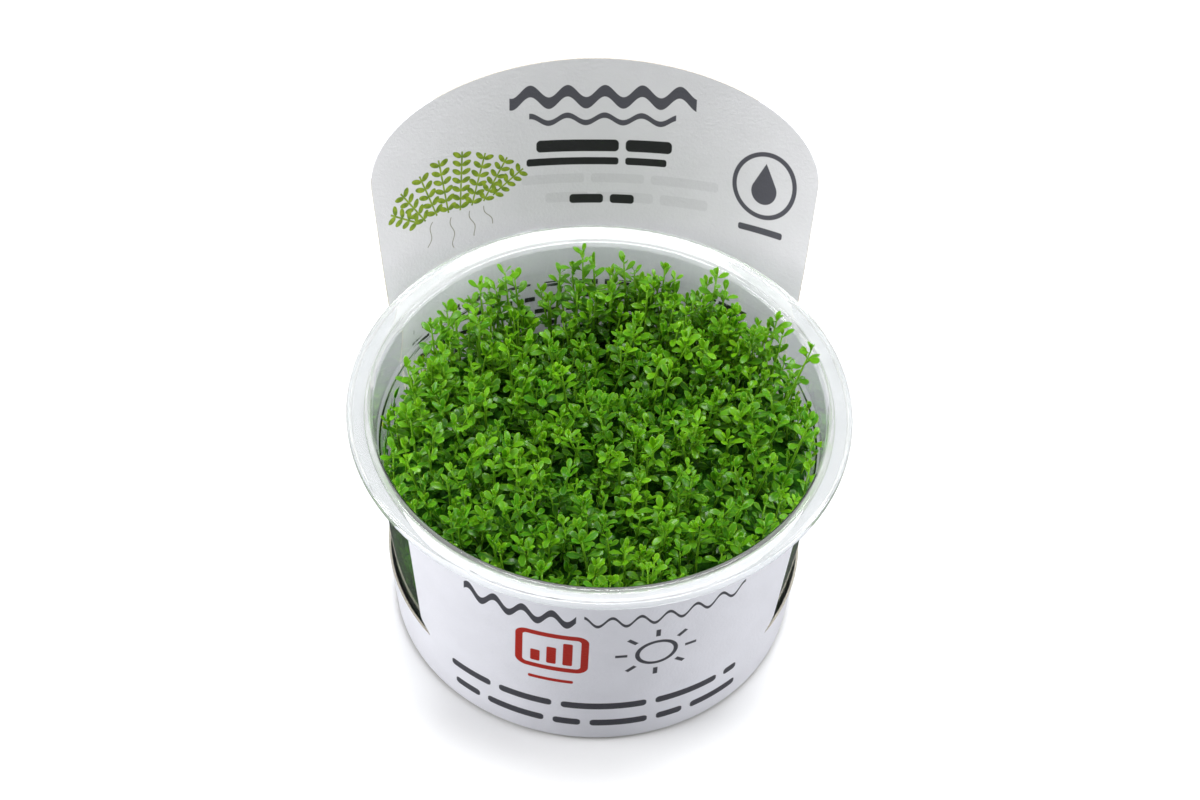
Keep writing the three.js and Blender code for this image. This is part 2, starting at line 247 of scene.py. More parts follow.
class Shading:
    """Short calls that add nodes to one material or group, each returning its output socket."""

    def __init__(self, tree):
        self.tree = tree

    def node(self, kind, **settings):
        made = self.tree.nodes.new(kind)
        for key, value in settings.items():
            setattr(made, key, value)
        return made

    def feed(self, socket, value):
        if isinstance(value, bpy.types.NodeSocket):
            self.tree.links.new(value, socket)
        else:
            socket.default_value = value

    def feed_row(self, node, *values):
        """Feeds a node's inputs in their order."""
        for socket, value in zip(node.inputs, values):
            self.feed(socket, value)
        return node.outputs

    def feed_all(self, node, **values):
        """Feeds a node's inputs by their names, with an underscore for a space."""
        for name, value in values.items():
            self.feed(node.inputs[name.replace("_", " ")], value)
        return node.outputs

    def math(self, operation, *values, clamp=False):
        return self.feed_row(self.node("ShaderNodeMath", operation=operation, use_clamp=clamp), *values)[0]

    def vector(self, operation, *values):
        outputs = self.feed_row(self.node("ShaderNodeVectorMath", operation=operation), *values)
        return outputs["Value" if operation in {"LENGTH", "DISTANCE"} else "Vector"]

    def mix(self, share, first, second):
        made = self.node("ShaderNodeMix", data_type="RGBA")
        self.feed(made.inputs[0], share)
        self.feed(made.inputs[6], first)
        self.feed(made.inputs[7], second)
        return made.outputs[2]

    def times(self, first, second):
        return self.math("MULTIPLY", first, second)

    def apart(self, first, second):
        return self.math("ABSOLUTE", self.math("SUBTRACT", first, second))

    def inside(self, distance, reach):
        """Turns from 0 to 1 where a distance comes within a reach, with the soft edge of ink."""
        outside = self.math("SUBTRACT", distance, reach)
        return self.math("MULTIPLY_ADD", outside, -1 / (EDGE_SOFTNESS * MM), 0.5, clamp=True)

    def ramp(self, value, low, high, to_low=0.0, to_high=1.0):
        return self.feed_row(self.node("ShaderNodeMapRange"), value, low, high, to_low, to_high)[0]

    def noise(self, place, scale, detail=2.0, roughness=0.5):
        made = self.node("ShaderNodeTexNoise")
        return self.feed_all(made, Vector=place, Scale=scale, Detail=detail, Roughness=roughness)["Fac"]

    def mapping(self, kind, **values):
        return self.feed_all(self.node("ShaderNodeMapping", vector_type=kind), **values)[0]

    def parts(self, vector):
        return self.feed_row(self.node("ShaderNodeSeparateXYZ"), vector)

    def joined(self, across, up):
        return self.feed_row(self.node("ShaderNodeCombineXYZ"), across, up)[0]

    def attribute(self, name):
        return self.node("ShaderNodeAttribute", attribute_name=name).outputs["Fac"]

    def group(self, tree, **values):
        return self.feed_all(self.node("ShaderNodeGroup", node_tree=tree), **values)

    def bump(self, height, strength, distance):
        made = self.node("ShaderNodeBump")
        return self.feed_all(made, Height=height, Strength=strength, Distance=distance)["Normal"]


def new_material(name, **sockets):
    """A material with one Principled shader whose plain numbers are set on its own sockets."""
    material = bpy.data.materials.new(name)
    material.use_nodes = True
    shader = material.node_tree.nodes["Principled BSDF"]
    shading = Shading(material.node_tree)
    shading.feed_all(shader, **sockets)
    return material, shading, shader


def new_group(name, inputs, outputs):
    """An empty node group with the named sockets: it, its shading, what it is given and what it puts out."""
    tree = bpy.data.node_groups.new(name, "ShaderNodeTree")
    for direction, sockets in (("INPUT", inputs), ("OUTPUT", outputs)):
        for label, kind in sockets.items():
            tree.interface.new_socket(label, in_out=direction, socket_type="NodeSocket" + kind)
    shading = Shading(tree)
    return tree, shading, shading.node("NodeGroupInput").outputs, shading.node("NodeGroupOutput").inputs


def object_place(shading):
    return shading.node("ShaderNodeTexCoord").outputs["Object"]


# Cup

def stations(radius, height, offsets):
    """Outline points by how far each lies outwards and upwards of one radius and height."""
    return [(radius + out, height + up) for out, up in offsets]


def cup_profile():
    """Closed outline of the cup's wall: underside, outer wall, rim, then the inside back to the axis."""
    step = CUP_HEIGHT - STEP_DROP
    lower = BASE_RADIUS + WALL_SLOPE * (step - BASE_CORNER)
    upper = lower + STEP_INSET
    top = CUP_HEIGHT
    inner_turn = BASE_CORNER - WALL
    outer_corner = [
        (BASE_RADIUS - BASE_CORNER * (1 - math.sin(turn)), BASE_CORNER * (1 - math.cos(turn)))
        for turn in np.linspace(0, math.pi / 2, CORNER_POINTS)
    ]
    inner_corner = [
        (BASE_RADIUS - WALL - inner_turn * (1 - math.sin(turn)), BASE_CORNER - inner_turn * math.cos(turn))
        for turn in np.linspace(math.pi / 2, 0, CORNER_POINTS)
    ]
    outer_wall = [
        *stations(lower, step, [(-0.03, -0.9), (0, -0.6), (0.1, -0.35)]),
        *stations(upper, step, [(-0.1, 0.2), (0, 0.45), (0.03, 0.8)]),
        *stations(MOUTH_RADIUS + WALL, top, [(-0.05, -2.0), (0.15, -1.6), (1.5, -1.3)]),
    ]
    rim = [
        *stations(RIM_RADIUS, top, [
            (-1.3, -0.95), (-0.75, -1.15), (-0.6, -1.6), (-0.3, -1.7), (-0.05, -1.4), (0, -0.6),
            (-0.06, -0.3), (-0.22, -0.09), (-0.45, 0), (-0.8, -0.06), (-1.3, -0.22), (-1.9, -0.41),
            (-2.5, -0.61),
        ]),
        *stations(LIP_RADIUS, top, [
            (0.7, -0.83), (0.5, -0.88), (0.3, -0.84), (0.12, -0.66), (-0.08, -0.54), (-0.35, -0.52),
        ]),
        *stations(MOUTH_RADIUS, top, [(0.45, -0.6), (0.15, -0.8), (0, -1.1), (-0.1, -2)]),
    ]
    inner_side = [
        *stations(upper - WALL, step, [(0.03, 1.1), (0, 0.8), (-0.1, 0.5)]),
        *stations(lower - WALL, step, [(0.1, -0.05), (0, -0.3), (-0.03, -0.7)]),
    ]
    return [(0, 0)] + outer_corner + outer_wall + rim + inner_side + inner_corner + [(0, WALL)]


def moulded_surface():
    """Group: the faint cloudiness and slow waves of thin moulded plastic."""
    tree, shading, given, result = new_group(
        "moulded surface",
        {"Place": "Vector", "Cloudy": "Color", "Clear": "Color", "Polish": "Float"},
        {"Colour": "Color", "Roughness": "Float", "Waves": "Float"})
    haze = shading.noise(given["Place"], 220.0, 3.0)
    shading.feed(result["Colour"], shading.mix(haze, given["Cloudy"], given["Clear"]))
    rough = shading.ramp(haze, 0.3, 0.7, 0.0, 0.05)
    shading.feed(result["Roughness"], shading.math("ADD", rough, given["Polish"]))
    shading.feed(result["Waves"], shading.noise(given["Place"], 55.0, 2.0))
    return tree


def clear_plastic(name, surface, transmission, polish, waviness):
    material, shading, shader = new_material(name, IOR=1.46, Transmission_Weight=transmission, Metallic=0.0)
    made = shading.group(surface, Place=object_place(shading), Polish=polish,
                         Cloudy=(0.90, 0.92, 0.92, 1), Clear=(0.94, 0.95, 0.96, 1))
    waves = shading.bump(made["Waves"], waviness, 0.0003)
    shading.feed_all(shader, Base_Color=made["Colour"], Roughness=made["Roughness"], Normal=waves)
    # Light reaches what stands behind the thin wall, as it does through real clear plastic.
    passing = shading.feed_all(shading.node("ShaderNodeBsdfTransparent"), Color=(0.86, 0.88, 0.87, 1))[0]
    in_shadow = shading.node("ShaderNodeLightPath").outputs["Is Shadow Ray"]
    either = shading.feed_row(shading.node("ShaderNodeMixShader"), in_shadow, shader.outputs[0], passing)[0]
    shading.feed_all(material.node_tree.nodes["Material Output"], Surface=either)
    return material


def make_cup():
    bm = turn_profile(cup_profile(), CUP_FACETS)
    for face in bm.faces:
        middle = face.calc_center_median()
        on_rim = math.hypot(middle.x, middle.y) > MOUTH_RADIUS + WALL and middle.z > CUP_HEIGHT - RIM_DEPTH
        face.material_index = int(on_rim)
    surface = moulded_surface()
    cup = add_piece("cup_clear", to_mesh("cup_clear", bm), [
        clear_plastic("clear plastic wall", surface, 1.0, 0.03, 0.1),
        clear_plastic("hazy plastic rim", surface, 0.84, 0.06, 0.04),
    ])
    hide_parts("cup")


# Culture gel

def culture_gel():
    material, shading, shader = new_material("culture gel", IOR=1.34, Transmission_Weight=0.7, Metallic=0.0)
    cloud = shading.noise(object_place(shading), 90.0, 3.0)
    colour = shading.mix(cloud, (0.72, 0.76, 0.56, 1), (0.86, 0.88, 0.74, 1))
    shading.feed_all(shader, Base_Color=colour, Roughness=shading.ramp(cloud, 0.3, 0.7, 0.15, 0.3),
                     Normal=shading.bump(cloud, 0.4, 0.0006))
    return material


def make_gel():
    floor = WALL + 0.1 + FIT_GAP
    side = BASE_RADIUS - WALL - FIT_GAP
    bm = turn_profile([
        (0, floor),
        (BASE_RADIUS - BASE_CORNER - 0.4, floor),
        (side - 1.3, 1.7),
        (side - 0.4, 2.5),
        (side, BASE_CORNER + 0.6),
        (side + WALL_SLOPE * (GEL_TOP - BASE_CORNER), GEL_TOP),
        (side - 0.7, GEL_TOP - 0.3),
        (side - 3, GEL_TOP - 0.5),
        (0, GEL_TOP - 0.5),
    ], GEL_FACETS)
    gel = add_piece("culture_gel", to_mesh("culture_gel", bm), [culture_gel()])
    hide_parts("gel")


# Card sleeve

def sleeve_radius(height):
    return SLEEVE_RIM_RADIUS + SLEEVE_SLOPE * (height - CUP_HEIGHT)


def band_point(angle, height):
    """A point of the card where it hugs the cup."""
    return on_circle(sleeve_radius(height), angle, height)


def header_point(around, height):
    """A point of the back of the card, by the distance along it from its middle."""
    leave_height = SLEEVE_BOTTOM + (SILL_HEIGHT - SLEEVE_BOTTOM) * abs(around) / HEADER_HALF_WIDTH
    leave_angle = around / sleeve_radius(leave_height)
    if height <= leave_height:
        return band_point(leave_angle, height)
    turn = around / HEADER_CURVE_RADIUS
    leave = band_point(leave_angle, leave_height)
    passing = Vector((
        HEADER_CURVE_RADIUS * math.sin(turn),
        HEADER_STAND_OFF - HEADER_CURVE_RADIUS * (1 - math.cos(turn)),
        CUP_HEIGHT,
    ))
    point = leave.lerp(passing, (height - leave_height) / (CUP_HEIGHT - leave_height))
    point.y += max(0, height - CUP_HEIGHT) * math.tan(math.radians(HEADER_LEAN))
    return point


def header_edge(around):
    across = min(1, abs(around) / HEADER_HALF_WIDTH)
    rise = (1 - across ** HEADER_ROUNDNESS) ** (1 / HEADER_ROUNDNESS)
    return HEADER_SHOULDER + (HEADER_TOP - HEADER_SHOULDER) * rise


def panel_half_angle(height):
    """Half of the front panel's width as an angle: it widens a little towards its foot."""
    foot = 1 - smooth_step(height, SILL_HEIGHT, SILL_HEIGHT + PANEL_FOOT_RISE)
    return math.radians(PANEL_HALF_ANGLE - (PANEL_HALF_ANGLE - PANEL_FOOT_HALF_ANGLE) * foot ** 2)


def sheet_part(bm, flat, columns, rows, place):
    """Adds one grid of the sheet. place turns shares across and up into a point and its flat coordinates."""
    grid = bmesh.ops.create_grid(bm, x_segments=columns, y_segments=rows, size=0.5)["verts"]
    faces = {face for vert in grid for face in vert.link_faces}
    for face in faces:
        for loop in face.loops:
            across, up = loop.vert.co.x + 0.5, loop.vert.co.y + 0.5
            loop[flat].uv = place(across, up)[1]
    for vert in grid:
        vert.co = place(vert.co.x + 0.5, vert.co.y + 0.5)[0]


def open_sheet():
    """The card with no thickness yet: a ring below two side windows, the front panel and the header."""
    bm = bmesh.new()
    flat = bm.loops.layers.uv.new("flat")
    header_half_angle = HEADER_HALF_WIDTH / sleeve_radius(SILL_HEIGHT)
    foot_half_angle = panel_half_angle(SILL_HEIGHT)

    def ring_height(up):
        return SLEEVE_BOTTOM + (SILL_HEIGHT - SLEEVE_BOTTOM) * up

    def on_back(around, height):
        return header_point(around, height), (around * MM, height * MM)

    def on_front(angle, height):
        around = FRONT_OFFSET + (math.pi - angle) * sleeve_radius(height)
        return band_point(angle, height), (around * MM, height * MM)

    def around_of(across):
        return HEADER_HALF_WIDTH * math.sin((across - 0.5) * math.pi)

    def back_of_ring(across, up):
        return on_back(around_of(across), ring_height(up))

    def front_of_ring(across, up):
        return on_front(math.pi - (2 * across - 1) * foot_half_angle, ring_height(up))

    def side_of_ring(start, end):
        return lambda across, up: on_front(start + (end - start) * across, ring_height(up))

    def front_panel(across, up):
        height = SILL_HEIGHT + (SLEEVE_TOP - SILL_HEIGHT) * up ** 1.5
        return on_front(math.pi - (2 * across - 1) * panel_half_angle(height), height)

    def header(across, up):
        around = around_of(across)
        return on_back(around, SILL_HEIGHT + (header_edge(around) - SILL_HEIGHT) * up)

    sheet_part(bm, flat, BACK_COLUMNS, RING_ROWS, back_of_ring)
    sheet_part(bm, flat, FRONT_COLUMNS, RING_ROWS, front_of_ring)
    sheet_part(bm, flat, SIDE_COLUMNS, RING_ROWS, side_of_ring(header_half_angle, math.pi - foot_half_angle))
    sheet_part(bm, flat, SIDE_COLUMNS, RING_ROWS,
               side_of_ring(math.pi + foot_half_angle, 2 * math.pi - header_half_angle))
    sheet_part(bm, flat, FRONT_COLUMNS, PANEL_ROWS, front_panel)
    sheet_part(bm, flat, BACK_COLUMNS, HEADER_ROWS, header)
    bmesh.ops.remove_doubles(bm, verts=bm.verts, dist=SHEET_WELD)
    bmesh.ops.recalc_face_normals(bm, faces=bm.faces)
    outward = sum(face.normal.dot(face.calc_center_median().to_2d().to_3d()) for face in bm.faces)
    if outward < 0:
        bmesh.ops.reverse_faces(bm, faces=bm.faces)
    return bm


def make_sleeve(outer, inner, board):
    """Thickens the sheet outwards, with a material each for its outer side, its inner side and its edge."""
    bm = open_sheet()
    bm.normal_update()
    for vert in bm.verts:
        vert.co += vert.normal * CARD_THICKNESS
    bmesh.ops.solidify(bm, geom=list(bm.faces), thickness=CARD_THICKNESS)
    bm.normal_update()
    for face in bm.faces:
        middle = face.calc_center_median()
        outward = face.normal.dot(Vector((middle.x, middle.y, 0)).normalized())
        face.material_index = 0 if outward > 0.5 else 1 if outward < -0.5 else 2
    sleeve = add_piece("sleeve_card", to_mesh("sleeve_card", bm), [outer, inner, board])
    sleeve.data.set_sharp_from_angle(angle=math.radians(SHARP_ANGLE))
    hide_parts("sleeve")


# Prints on the card. Every mask is 1 on the ink and 0 beside it, in the card's flat coordinates in metres.

def bar_mask():
    """Group: a bar with round corners, from its middle, half its straight sides and its corner radius."""
    tree, shading, given, result = new_group(
        "bar mask",
        {"Flat": "Vector", "Middle": "Vector", "Half": "Vector", "Corner": "Float"},
        {"Ink": "Float"})
    away = shading.vector("ABSOLUTE", shading.vector("SUBTRACT", given["Flat"], given["Middle"]))
    away = shading.vector("MAXIMUM", shading.vector("SUBTRACT", away, given["Half"]), (0, 0, 0))
    shading.feed(result["Ink"], shading.inside(shading.vector("LENGTH", away), given["Corner"]))
    return tree


def ring_mask():
    """Group: a ring, from its middle, the radius at the middle of its line and half of the line's width."""
    tree, shading, given, result = new_group(
        "ring mask",
        {"Flat": "Vector", "Middle": "Vector", "Radius": "Float", "Half Line": "Float"},
        {"Ink": "Float"})
    away = shading.vector("DISTANCE", given["Flat"], given["Middle"])
    shading.feed(result["Ink"], shading.inside(shading.apart(away, given["Radius"]), given["Half Line"]))
    return tree


def wave_mask():
    """Group: an endless band in even waves. Turns is the angle that it passes through in each metre."""
    tree, shading, given, result = new_group(
        "wave mask",
        {"Flat": "Vector", "Turns": "Float", "Swing": "Float", "Height": "Float", "Half Line": "Float"},
        {"Ink": "Float"})
    flat = shading.parts(given["Flat"])
    sway = shading.math("SINE", shading.times(flat["X"], given["Turns"]))
    centre = shading.math("MULTIPLY_ADD", sway, given["Swing"], given["Height"])
    shading.feed(result["Ink"], shading.inside(shading.apart(flat["Y"], centre), given["Half Line"]))
    return tree


BAR_MASK = bar_mask()
RING_MASK = ring_mask()
WAVE_MASK = wave_mask()


class Print(Shading):
    """Motifs printed on one side of the card, each a mask. Their places and sizes are in millimetres."""

    def __init__(self, tree, flat):
        super().__init__(tree)
        self.flat = flat

    def join(self, *inks):
        joined = inks[0]
        for ink in inks[1:]:
            joined = self.math("MAXIMUM", joined, ink)
        return joined

    def turned(self, middle, degrees=0):
        """The same side moved to a motif's middle and turned, so that the motif stands upright on it."""
        place = (middle[0] * MM, middle[1] * MM, 0)
        turn = (0, 0, math.radians(degrees))
        return Print(self.tree, self.mapping("TEXTURE", Vector=self.flat, Location=place, Rotation=turn))

    def bar(self, middle, size, corner):
        """A bar with round corners."""
        place = (middle[0] * MM, middle[1] * MM, 0)
        half = ((size[0] / 2 - corner) * MM, (size[1] / 2 - corner) * MM, 0)
        return self.group(BAR_MASK, Flat=self.flat, Middle=place, Half=half, Corner=corner * MM)["Ink"]

    def outline(self, middle, size, corner, line):
        """The outline of a bar, as a line of the given width inside it."""
        inner_size = (size[0] - 2 * line, size[1] - 2 * line)
        inner = self.bar(middle, inner_size, max(0.1, corner - line))
        return self.math("SUBTRACT", self.bar(middle, size, corner), inner, clamp=True)

    def words(self, start, height, lengths, thickness, gap=1.4):
        """A row of plain bars of the given lengths, like words."""
        inks = []
        for length in lengths:
            inks.append(self.bar((start + length / 2, height), (length, thickness), 0.35 * thickness))
            start += length + gap
        return self.join(*inks)

    def wave(self, middle, span, swing, length, thickness):
        """A band that runs up and down in even waves across the span."""
        band = self.group(WAVE_MASK, Flat=self.flat, Turns=2 * math.pi / (length * MM), Swing=swing * MM,
                          Height=middle[1] * MM, Half_Line=thickness / 2 * MM)["Ink"]
        reach = self.bar(middle, (span, 4 * swing + 2 * thickness), 0.1)
        return self.times(band, reach)

    def ring(self, middle, radius, line):
        """A ring, by its outer radius and its line."""
        return self.group(RING_MASK, Flat=self.flat, Middle=(middle[0] * MM, middle[1] * MM, 0),
                          Radius=(radius - line / 2) * MM, Half_Line=line / 2 * MM)["Ink"]

    def sprig(self, foot, degrees, length, pairs, leaf):
        """A simple sprig: a stem with pairs of oval leaves."""
        upright = self.turned(foot, degrees)
        parts = self.parts(upright.flat)
        side = self.math("ABSOLUTE", parts["X"])
        pitch = length / pairs * MM
        within = self.math("SUBTRACT", self.math("FLOORED_MODULO", parts["Y"], pitch), 0.4 * pitch)
        leaf_place = Print(self.tree, self.joined(side, within)).turned((0.55 * leaf, 0.2 * leaf), 30)
        oval = self.vector("LENGTH", self.vector("MULTIPLY", leaf_place.flat, (1, 1.9, 1)))
        shape = self.join(self.inside(oval, 0.55 * leaf * MM), self.inside(side, 0.18 * MM))
        return self.times(shape, upright.bar((0, length / 2), (3 * leaf, length), 0.1))

    def root(self, top, degrees, length):
        """A thin wavy root that hangs below the sprigs."""
        upright = self.turned(top, degrees)
        parts = self.parts(upright.flat)
        sway = self.math("SINE", self.times(parts["Y"], 1400.0))
        line = self.inside(self.apart(parts["X"], self.times(sway, 0.35 * MM)), 0.09 * MM)
        return self.times(line, upright.bar((0, -length / 2), (4, length), 0.1))

    def drop(self, middle, radius):
        """A drop of water: a disc below and a point above."""
        local = self.turned(middle).flat
        parts = self.parts(local)
        width = self.times(self.math("SUBTRACT", 2.1 * radius * MM, parts["Y"]), 0.54)
        point = self.inside(self.math("ABSOLUTE", parts["X"]), width)
        above = self.math("GREATER_THAN", parts["Y"], 0.47 * radius * MM)
        disc = self.inside(self.vector("LENGTH", local), radius * MM)
        return self.join(disc, self.times(point, above))

    def sun(self, middle, radius):
        """A plain sun: a ring with eight short rays."""
        local = self.turned(middle).flat
        parts = self.parts(local)
        angle = self.math("ARCTAN2", parts["Y"], parts["X"])
        beside = self.math("ABSOLUTE", self.math("SINE", self.times(angle, 4.0)))
        off = self.times(self.times(beside, self.vector("LENGTH", local)), 0.25)
        reach = self.ring(middle, 1.9 * radius, 0.55 * radius)
        rays = self.times(self.inside(off, 0.45 * MM), reach)
        return self.join(rays, self.ring(middle, radius, 0.9))

    def fine_rows(self, pitch, thickness):
        """Rows of short plain bars, like small print seen from afar. Their lengths and gaps are irregular."""
        parts = self.parts(self.flat)
        level = self.times(parts["Y"], 1 / (pitch * MM))
        row = self.math("FLOOR", level)
        within = self.apart(self.math("SUBTRACT", level, row), 0.5)
        line = self.inside(self.times(within, pitch * MM), thickness / 2 * MM)
        place = self.joined(self.times(parts["X"], 420.0), self.times(row, 7.3))
        words = self.ramp(self.noise(place, 1.0, 1.0), 0.455, 0.47)
        return self.times(line, words)


BLACK_INK = (0.012, 0.012, 0.014, 1)
GREY_INK = (0.07, 0.07, 0.085, 1)
RED_INK = (0.46, 0.014, 0.004, 1)
GREEN_INK = (0.24, 0.34, 0.02, 1)
DARK_GREEN_INK = (0.12, 0.2, 0.01, 1)
ROOT_INK = (0.22, 0.22, 0.16, 1)

# Sprigs printed on the header: foot, lean in degrees, length, pairs of leaves and size of a leaf
SPRIGS = [
    ((-37, 61.5), 62, 6.5, 4, 1.7),
    ((-35.5, 61.5), 36, 8, 5, 1.7),
    ((-33, 62), 20, 9, 5, 1.8),
    ((-30.5, 62), 8, 11, 6, 1.8),
    ((-28, 62), -4, 12, 7, 1.8),
    ((-25.5, 62.5), -16, 11, 6, 1.8),
    ((-23, 63), -30, 10, 6, 1.7),
    ((-21, 64), -52, 8, 5, 1.7),
]

# Roots below the sprigs: top, lean in degrees and length
ROOTS = [
    ((-34, 61), -14, 5),
    ((-30, 61), 4, 6.5),
    ((-26, 61.5), 12, 5.5),
    ((-23, 62), 24, 4.5),
]


def coated_board():
    """Group: coated white board with a faint mottle, a very fine tooth and a soft sheen."""
    tree, shading, given, result = new_group(
        "coated board", {"Place": "Vector", "Tint": "Color"},
        {"Colour": "Color", "Roughness": "Float", "Tooth": "Float"})
    mottle = shading.ramp(shading.noise(given["Place"], 130.0, 4.0, 0.6), 0.3, 0.7)
    dull = shading.mix(0.04, given["Tint"], (0, 0, 0, 1))
    shading.feed(result["Colour"], shading.mix(mottle, dull, given["Tint"]))
    shading.feed(result["Roughness"], shading.ramp(mottle, 0.0, 1.0, 0.42, 0.55))
    shading.feed(result["Tooth"], shading.noise(given["Place"], 1500.0, 3.0, 0.6))
    return tree


def card_base(name, board, tint):
    """Coated board: the material, its shader, the board's colour with the given tint and a Print for what
    lies over it.
    """
    material, shading, shader = new_material(name, Metallic=0.0, Specular_IOR_Level=0.45)
    paper = shading.group(board, Place=object_place(shading), Tint=tint)
    tooth = shading.bump(paper["Tooth"], 0.5, 0.00016)
    shading.feed_all(shader, Roughness=paper["Roughness"], Normal=tooth)
    flat = shading.node("ShaderNodeUVMap", uv_map="flat").outputs[0]
    return material, shader, paper["Colour"], Print(material.node_tree, flat)


def printed_outer(board):
    """Outer side: the front panel's print, and three lines on the back, set for a reader behind the card."""
    # The faint blue of the outside's tint is a painted cast of the cool light around the card.
    material, shader, colour, card = card_base("printed card outside", board, (0.82, 0.82, 0.88, 1))
    behind = Print(card.tree, card.vector("MULTIPLY", card.flat, (-1, 1, 1)))
    front = Print(card.tree, card.vector("SUBTRACT", card.flat, (FRONT_OFFSET * MM, 0, 0)))
    plain = card.join(
        front.wave((-17, 44.6), 23, 1.7, 5.8, 2.4),
        front.wave((12.5, 44.6), 33, 1.5, 5.5, 1.0),
        front.words(-32, 13.2, (9.5, 11, 17, 13.5, 3.2), 2.3, 1.9),
        front.words(-31, 6.8, (6, 12, 5.5, 11.5, 5.5, 11), 2.3, 1.9),
        front.sun((10.5, 32), 4.3),
        behind.words(-24, 66, (12, 9, 15, 8), 1.6),
        behind.words(-24, 61.5, (8, 14, 6, 11), 1.6),
        behind.words(-24, 57, (15, 7, 10), 1.6),
    )
    framed = card.join(
        front.outline((-10, 32.3), (14.5, 13.5), 2.4, 1.5),
        front.bar((-13.2, 30.1), (1.9, 4), 0.4),
        front.bar((-10, 31.1), (1.9, 6), 0.4),
        front.bar((-6.8, 32.1), (1.9, 8), 0.4),
        front.words(-14.5, 22, (9,), 1.1),
    )
    colour = card.mix(plain, colour, GREY_INK)
    card.feed_all(shader, Base_Color=card.mix(framed, colour, RED_INK))
    return material


def printed_inner(board):
    """Inner side: the header's print above the rim and rows of small print behind the clear wall."""
    # The inside is the same white board as the outside, tinted darker grey as painted shade.
    material, shader, colour, card = card_base("printed card inside", board, (0.64, 0.64, 0.66, 1))
    ghost = card.join(
        card.words(-15, 66.2, (13, 11, 14), 2.0),
        card.words(-10, 62.0, (9, 12, 10), 2.2),
    )
    title_and_badge = card.join(
        card.wave((1.5, 84), 38, 1.3, 7.6, 2.5),
        card.wave((1.5, 79.2), 30, 0.8, 7.6, 1.2),
        card.ring((35.2, 68.5), 6.6, 0.9),
        card.drop((35.2, 67.4), 2.6),
        card.words(30.5, 59.6, (9.5,), 1.3),
    )
    small_print = card.times(card.fine_rows(3.3, 1.1), card.bar((0, 31), (84, 26), 0.2))
    dark = card.join(
        card.words(-12, 73.4, (17, 9.5), 2.6),
        card.words(-14, 70, (19, 8.5), 1.6),
        card.words(-5, 61.6, (7, 5), 2.0),
        small_print,
    )
    sprigs = card.join(*[card.sprig(*sprig) for sprig in SPRIGS])
    roots = card.join(*[card.root(*root) for root in ROOTS])
    shades = card.ramp(card.noise(card.flat, 900.0, 1.0), 0.35, 0.65)
    colour = card.mix(card.times(ghost, 0.10), colour, GREY_INK)
    colour = card.mix(roots, colour, ROOT_INK)
    colour = card.mix(sprigs, colour, card.mix(shades, DARK_GREEN_INK, GREEN_INK))
    colour = card.mix(title_and_badge, colour, GREY_INK)
    card.feed_all(shader, Base_Color=card.mix(dark, colour, BLACK_INK))
    return material


def board_edge():
    """The cut edge of the board, where its brownish core shows between white faces."""
    material, shading, shader = new_material("board edge", Metallic=0.0)
    fibres = shading.noise(object_place(shading), 1800.0, 3.0)
    colour = shading.mix(fibres, (0.36, 0.31, 0.24, 1), (0.66, 0.63, 0.57, 1))
    shading.feed_all(shader, Base_Color=colour, Roughness=shading.ramp(fibres, 0.3, 0.7, 0.75, 0.9),
                     Normal=shading.bump(fibres, 0.4, 0.0001))
    return material


# Plants

# Forms of the leaves, each a millimetre long: width, arch, depth of its channel and twist
LEAF_FORMS = [
    (0.45, 0.12, 0.16, 0.0),
    (0.40, 0.28, 0.22, 0.3),
    (0.50, 0.02, 0.08, -0.3),
    (0.38, -0.10, 0.26, 0.15),
    (0.43, 0.42, 0.14, -0.15),
]

# Outline of every leaf: shares of its length, and of its half width there
LEAF_OUTLINE = [(0.0, 0.0), (0.2, 0.25), (0.47, 0.8), (0.7, 1.0), (0.9, 0.68), (1.0, 0.0)]
LEAF_THICKNESS = 0.035
LEAF_EDGE = 0.012
UPPER_SIDE = 0.8
CHANNEL_MIDDLE = 0.1

# Pairs of leaves from the tip of a shoot down: distance from the tip, rise in degrees and size of the leaves
LEAF_PAIRS = [
    (0.1, 74, 0.6),
    (0.9, 58, 0.88),
    (2.6, 44, 1.02),
    (4.8, 30, 1.08),
    (7.2, 16, 1.02),
    (9.8, 4, 0.95),
    (12.4, -6, 0.9),
    (15.0, -12, 0.85),
    (17.6, -16, 0.85),
    (20.2, -18, 0.8),
]

# A stem bends evenly: shares of its length, and of its radius there
STEM_STATIONS = [(0, 1.15), (0.35, 1.05), (0.7, 0.9), (1, 0.55)]


def leaf_form(width, arch, channel, twist):
    """One leaf along +Y from the origin: oval, widest past its middle, with a channel along its top."""
    bm = bmesh.new()
    bmesh.ops.create_uvsphere(bm, u_segments=8, v_segments=5, radius=1)
    bmesh.ops.rotate(bm, verts=bm.verts, cent=(0, 0, 0), matrix=Matrix.Rotation(math.radians(90), 3, "X"))
    tips = bm.verts.layers.float.new("along")
    rims = bm.verts.layers.float.new("rim")
    levels = sorted({round(vert.co.y, 3) for vert in bm.verts})
    for vert in bm.verts:
        along, half = LEAF_OUTLINE[min(range(len(levels)), key=lambda at: abs(levels[at] - vert.co.y))]
        reach = math.hypot(vert.co.x, vert.co.z)
        side = vert.co.x / reach if reach > 1e-6 else 0.0
        height = vert.co.z / reach if reach > 1e-6 else 0.0
        x = side * half * width / 2
        thick = LEAF_THICKNESS * half + LEAF_EDGE
        fullness = 1 if height < 0 else UPPER_SIDE if abs(side) > 0.1 else CHANNEL_MIDDLE
        z = height * thick * fullness
        z += channel * (2 * x / width) ** 2 * width - arch * along * along
        vert[tips] = along
        vert[rims] = abs(side) * half
        turn = twist * along
        vert.co = Vector((
            x * math.cos(turn) - z * math.sin(turn),
            along,
            x * math.sin(turn) + z * math.cos(turn),
        ))
    bmesh.ops.recalc_face_normals(bm, faces=bm.faces)
    bmesh.ops.triangulate(bm, faces=bm.faces)
    return Form(bm)


